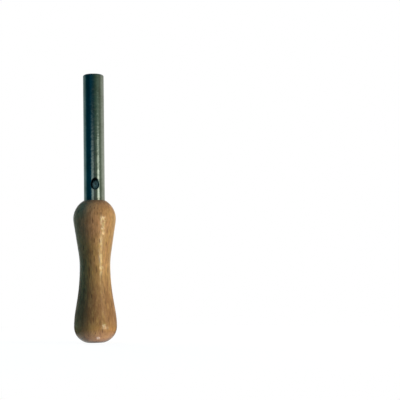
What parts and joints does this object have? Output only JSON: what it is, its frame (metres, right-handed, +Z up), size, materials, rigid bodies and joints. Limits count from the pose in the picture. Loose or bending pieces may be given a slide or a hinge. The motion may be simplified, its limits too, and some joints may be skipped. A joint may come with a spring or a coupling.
{
  "type": "bird call",
  "caption": "Hand-held bird call: a turned wooden mouthpiece carrying an open metal whistle tube with a slanted oval window and a windway block inside.",
  "frame": {"origin": "centre of the flat mouth face at the foot of the wooden handle", "axes": "+Z up the common axis of handle and tube, towards the tube's open end; the window faces -Y"},
  "size_m": [0.0203, 0.0202, 0.1284],
  "materials": {
    "handle": "varnished beech",
    "tube": "polished nickel plate",
    "block": "turned"
  },
  "bodies": {
    "root": {"handle": "handle", "tube": "tube", "block": "block"}
  },
  "joints": []
}
